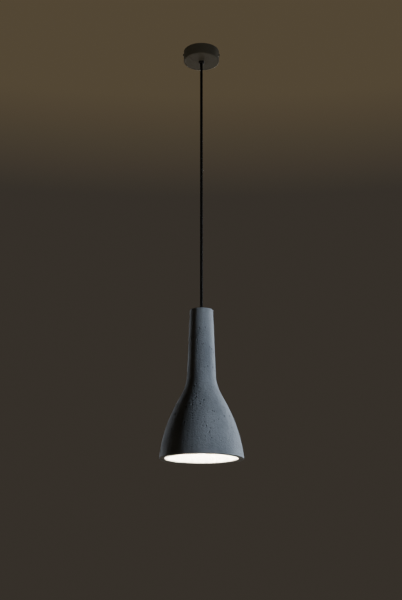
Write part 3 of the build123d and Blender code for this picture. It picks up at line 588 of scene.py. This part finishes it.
def shade_profile():
    """The closed profile, from the hole's top edge outwards and round, and how many points are outside."""
    low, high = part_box("shade")
    web_z = high.z - WEB_THICKNESS
    outer = wall_points(
        NECK_TOP_RADIUS,
        high.z,
        NECK_LEAN,
        NECK_LENGTH,
        FLARE_RADIUS,
        CONE_LENGTH,
        BELLY_RADIUS,
        low.z,
        OUTER_STEP,
    )
    inner = wall_points(
        INNER_NECK_TOP_RADIUS,
        web_z,
        INNER_NECK_LEAN,
        INNER_NECK_LENGTH,
        INNER_FLARE_RADIUS,
        INNER_CONE_LENGTH,
        INNER_BELLY_RADIUS,
        low.z,
        INNER_STEP,
    )
    hole_top, hole_low = (HOLE_RADIUS, high.z), (HOLE_RADIUS, web_z)
    top_radii = np.linspace(HOLE_RADIUS + 1.2 * MM, NECK_TOP_RADIUS - EDGE_ROUND, 8)[:-1]
    top_face = [(r, high.z) for r in top_radii]
    edge = rounded(top_face[-1], outer[0], outer[3], EDGE_ROUND, 7)
    rim_out = rounded(outer[-4], outer[-1], inner[-1], RIM_ROUND, 6)
    rim_in = rounded(outer[-1], inner[-1], inner[-3], RIM_ROUND, 6)
    rim_end, rim_width = np.array(rim_out[-1]), np.array(rim_in[0]) - rim_out[-1]
    flat = [tuple(rim_end + rim_width * t) for t in (0.25, 0.5, 0.75)]
    lip = rounded(hole_low, hole_top, top_face[0], HOLE_LIP_ROUND, 4)
    outer_part = lip + top_face + edge + outer[2:-2] + rim_out + flat + rim_in
    web = rounded(inner[2], inner[0], hole_low, WEB_CORNER_ROUND, 4)
    inner_part = inner[-2:0:-1] + web + [(11 * MM, web_z), (HOLE_RADIUS + 0.4 * MM, web_z)]
    hole = [(HOLE_RADIUS, web_z + 0.4 * MM), (HOLE_RADIUS, web_z + 6 * MM)]
    return outer_part + inner_part + hole, len(outer_part)


def pit_drift(point):
    """How thick the air pits lie, 0 to 1: most low on the front left, some up the front of the neck."""
    azimuth = math.degrees(math.atan2(point.x, -point.y))
    low_left = math.exp(-(((azimuth + 29) / 26) ** 2) - ((point.z + 0.842) / 0.045) ** 2)
    neck_front = math.exp(-(((azimuth - 5) / 30) ** 2) - ((point.z + 0.68) / 0.05) ** 2)
    return max(low_left, 0.5 * neck_front)


def choose_pits(profile, outer_count):
    """Pits on the outer surface, as centre, radius and stretch along the height: many small, few large."""
    rng = np.random.default_rng(PIT_SEED)
    outer = np.array(profile[:outer_count])
    steps = np.linalg.norm(np.diff(outer, axis=0), axis=1)
    middle = (outer[1:] + outer[:-1]) / 2
    area = steps * middle[:, 0]
    area[middle[:, 1] > outer[:, 1].max() - 4 * MM] = 0
    share = np.cumsum(area) / area.sum()
    pits = []
    while len(pits) < PIT_COUNT:
        radius, z = middle[np.searchsorted(share, rng.random())]
        angle = rng.random() * TURN
        centre = Vector((radius * math.cos(angle), radius * math.sin(angle), z))
        drift = pit_drift(centre)
        patchy = 0.22 + 1.1 * noise.noise(Vector((centre.x, centre.y, z * 0.7)) * 28)
        size = (0.5 + (1.4 + 1.0 * drift) * rng.random() ** (3.5 - 1.5 * drift)) * MM
        if rng.random() < max(0.05, patchy) + drift:
            pits.append((centre, size, 1 + 0.7 * rng.random()))
    return pits


def carve_pits(mesh, pits):
    """Refines the mesh round each pit and sinks its points along a rounded bowl."""
    bm = bmesh.new()
    bm.from_mesh(mesh)
    bm.verts.ensure_lookup_table()
    tree = KDTree(len(bm.faces))
    bm.faces.ensure_lookup_table()
    for k, face in enumerate(bm.faces):
        tree.insert(face.calc_center_median(), k)
    tree.balance()
    near = set()
    for centre, size, tall in pits:
        for _, k, _ in tree.find_range(centre, size * tall + 1.1 * MM):
            near.add(k)
    edges = {e for k in near for e in bm.faces[k].edges}
    bmesh.ops.subdivide_edges(bm, edges=list(edges), cuts=2, use_grid_fill=True)
    bm.normal_update()
    tree = KDTree(len(bm.verts))
    bm.verts.ensure_lookup_table()
    for k, vert in enumerate(bm.verts):
        tree.insert(vert.co, k)
    tree.balance()
    sink = {}
    for centre, size, tall in pits:
        for co, k, _ in tree.find_range(centre, size * tall * 1.25):
            offset = co - centre
            reach = math.hypot(math.hypot(offset.x, offset.y), offset.z / tall) / size
            if reach < 1.2:
                depth = size * PIT_DEPTH_SHARE * (1 - min(1.0, reach) ** 2) + (0.04 * MM if reach < 1 else 0)
                sink[k] = max(sink.get(k, 0), depth)
    moves = [(bm.verts[k], bm.verts[k].normal.copy(), depth) for k, depth in sink.items()]
    for vert, normal, depth in moves:
        vert.co -= normal * depth
    bm.to_mesh(mesh)
    bm.free()


def make_shade():
    """The profile turned round the axis, with a slightly wavy outside, then pitted."""
    profile, outer_count = shade_profile()
    rows = len(profile)
    angles = TURN * np.arange(SHADE_COLUMNS) / SHADE_COLUMNS
    r = np.array([p[0] for p in profile])[:, None]
    z = np.array([p[1] for p in profile])[:, None]
    turned = np.broadcast_arrays(r * np.cos(angles), r * np.sin(angles), z)
    points = np.stack(turned, axis=-1).reshape(-1, 3)
    for k in range(outer_count * SHADE_COLUMNS):
        x, y, height = points[k]
        if math.hypot(x, y) < HOLE_RADIUS + 4 * MM:
            continue
        swell = noise.noise(Vector((x, y, height)) * 22) + 0.5 * noise.noise(Vector((x, y, height)) * 75)
        inward = WAVE_DEPTH * (0.5 + swell / 3)
        points[k, 0] -= inward * x / math.hypot(x, y)
        points[k, 1] -= inward * y / math.hypot(x, y)
    faces = grid_faces(rows, SHADE_COLUMNS, close_rows=True)
    piece = add_piece("concrete_shade", points, faces[:, ::-1], "concrete", "shade", "shade")
    carve_pits(piece.data, choose_pits(profile, outer_count))
    piece.data.shade_smooth()


# ---- Threads: right-hand helices cut into the bulb's cap, the screw shell and the threaded tube ----


def threaded_sleeve(name, z_points, radius_at, bore_at, pitch, columns, slot, body, node):
    """A closed sleeve; radius_at and bore_at give its radii from the height and the helix's phase."""
    rows_out, rows_in = [], []
    for z in z_points:
        for j in range(columns):
            angle = TURN * j / columns
            phase = TURN * (z / pitch) - angle
            rows_out.append((radius_at(z, phase), angle, z))
            rows_in.append((bore_at(z, phase), angle, z))
    n = len(z_points)
    back = [rows_in[i * columns + j] for i in range(n - 1, -1, -1) for j in range(columns)]
    radius, angle, height = np.array(rows_out + back).T
    points = np.stack([radius * np.cos(angle), radius * np.sin(angle), height], axis=-1)
    faces = grid_faces(2 * n, columns, close_rows=True)
    add_piece(name, points, faces, slot, body, node)


THREAD_COLUMNS = 56
THREAD_ROWS = 84
E27_PITCH = 3.629 * MM
CAP_ROOT = 12.2 * MM
CAP_CREST = 13.05 * MM
CAP_BORE = 11.6 * MM
CAP_SHOULDER = 1.4 * MM
CAP_SKIRT = 4.0 * MM
CAP_TOP_RADIUS = 10.4 * MM
CAP_TOP_BORE = 8.95 * MM
SHELL_RADIUS = 13.45 * MM
SHELL_WALL = 0.4 * MM
SHELL_TOP = 0.5 * MM
SHELL_TOP_BORE = 9.2 * MM
SHELL_THREAD_DEPTH = 0.3 * MM
TUBE_CREST = 4.95 * MM
TUBE_ROOT = 4.42 * MM
TUBE_BORE = 3.7 * MM
TUBE_PITCH = 1.0 * MM
TUBE_COLUMNS = 28
TUBE_ROWS_PER_PITCH = 8


def knuckle(phase):
    """A rounded thread wave from 0 at the root to 1 at the crest."""
    return 0.5 + 0.5 * math.cos(phase)


def ease(value, low, high):
    """0 below low, 1 above high and smooth between."""
    t = min(1.0, max(0.0, (value - low) / (high - low)))
    return t * t * (3 - 2 * t)


def make_bulb_cap():
    low, high = (corner.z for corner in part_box("bulb_cap"))
    shoulder = high - CAP_SHOULDER
    thread_low = low + CAP_SKIRT

    def outside(z, phase):
        if z > shoulder:
            return CAP_TOP_RADIUS + 1.5 * MM * math.sqrt(max(0.0, 1 - ((z - shoulder) / CAP_SHOULDER) ** 2))
        wave = ease(shoulder - z, 0, 1.6 * MM) * ease(z - thread_low, 0, 1.4 * MM)
        skirt = 1 - ease(z - thread_low, -0.2 * MM, 1.0 * MM)
        return CAP_ROOT + (CAP_CREST - CAP_ROOT) * max(wave * knuckle(phase), skirt)

    def bore(z, phase):
        return CAP_TOP_BORE if z > shoulder - 0.2 * MM else CAP_BORE

    heights = np.concatenate([np.linspace(low, shoulder, THREAD_ROWS), np.linspace(shoulder, high, 7)[1:]])
    threaded_sleeve(
        "bulb_cap_threaded",
        heights,
        outside,
        bore,
        E27_PITCH,
        THREAD_COLUMNS,
        "nickel_cap",
        "bulb",
        "bulb_cap",
    )


def make_screw_shell():
    low, high = (corner.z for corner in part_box("screw_shell"))
    top_ring = high - SHELL_TOP

    def depth(z, phase):
        inside = ease(z - low, 0.6 * MM, 2.0 * MM) * ease(top_ring - z, 0.6 * MM, 2.0 * MM)
        return SHELL_THREAD_DEPTH * inside * (1 - knuckle(phase))

    def bore(z, phase):
        return SHELL_TOP_BORE if z > top_ring else SHELL_RADIUS - depth(z, phase)

    def outside(z, phase):
        return SHELL_RADIUS + SHELL_WALL - depth(z, phase)

    heights = np.concatenate([np.linspace(low, top_ring, THREAD_ROWS), [top_ring + 0.02 * MM, high]])
    threaded_sleeve(
        "screw_shell_threaded",
        heights,
        outside,
        bore,
        E27_PITCH,
        THREAD_COLUMNS,
        "brass",
        "suspension",
        "screw_shell",
    )


def make_threaded_tube():
    low, high = (corner.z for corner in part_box("threaded_tube"))

    def outside(z, phase):
        runout = ease(z - low, 0, 0.8 * MM) * ease(high - z, 0, 0.8 * MM)
        return TUBE_ROOT + (TUBE_CREST - TUBE_ROOT) * runout * knuckle(phase) ** 0.8

    heights = np.linspace(low, high, int((high - low) / TUBE_PITCH * TUBE_ROWS_PER_PITCH))
    threaded_sleeve(
        "tube_threaded",
        heights,
        outside,
        lambda z, phase: TUBE_BORE,
        TUBE_PITCH,
        TUBE_COLUMNS,
        "zinc_steel",
        "suspension",
        "threaded_tube",
    )


# ---- Stage ----


def make_floor():
    s = Shader("floor", Roughness=0.75)
    s.feed(s.ramp(s.noise(0.8, 3), (0.3, (0.66, 0.65, 0.63)), (0.7, (0.70, 0.69, 0.67))), "Base Color")
    mesh = bpy.data.meshes.new("floor")
    corners = [(x * FLOOR_HALF, y * FLOOR_HALF, FLOOR_Z) for x, y in ((-1, -1), (1, -1), (1, 1), (-1, 1))]
    mesh.from_pydata(corners, [], [(0, 1, 2, 3)])
    mesh.materials.append(s.material)
    floor = bpy.data.objects.new("floor", mesh)
    bpy.context.scene.collection.objects.link(floor)


def make_world():
    """A dim warm surround, lighter overhead and dark towards the front left, where no light comes from."""
    world = bpy.data.worlds.new("studio")
    world.use_nodes = True
    nodes, links = world.node_tree.nodes, world.node_tree.links

    def ramp(value, first, second):
        made = nodes.new("ShaderNodeValToRGB")
        for element, (position, colour) in zip(made.color_ramp.elements, (first, second)):
            element.position = position
            element.color = (*colour, 1)
        links.new(value, made.inputs["Fac"])
        return made.outputs["Color"]

    def blend(kind, first, second):
        made = nodes.new("ShaderNodeMix")
        made.data_type = "RGBA"
        made.blend_type = kind
        made.inputs[0].default_value = 1.0
        links.new(first, made.inputs[6])
        links.new(second, made.inputs[7])
        return made.outputs[2]

    direction = nodes.new("ShaderNodeTexCoord").outputs["Generated"]
    height = nodes.new("ShaderNodeSeparateXYZ")
    links.new(direction, height.inputs[0])
    facing = nodes.new("ShaderNodeVectorMath")
    facing.operation = "DOT_PRODUCT"
    facing.inputs[1].default_value = DARK_SIDE
    links.new(direction, facing.inputs[0])
    surround = ramp(height.outputs["Z"], (0.38, (0.045, 0.038, 0.030)), (0.47, (0.095, 0.073, 0.043)))
    away = ramp(facing.outputs["Value"], (0.0, (1.0, 1.0, 1.0)), (0.35, (0.07, 0.10, 0.16)))
    horizon = ramp(height.outputs["Z"], (0.22, (0.75, 0.75, 0.75)), (0.50, (0.0, 0.0, 0.0)))
    lit = blend("LIGHTEN", away, horizon)
    links.new(blend("MULTIPLY", surround, lit), nodes["Background"].inputs["Color"])
    bpy.context.scene.world = world


# ---- The lamp ----

make_camera()
materials = make_materials()
make_cord()
paint_frame()
make_shade()
make_bulb_cap()
make_screw_shell()
make_threaded_tube()
make_floor()
make_world()
make_lights()
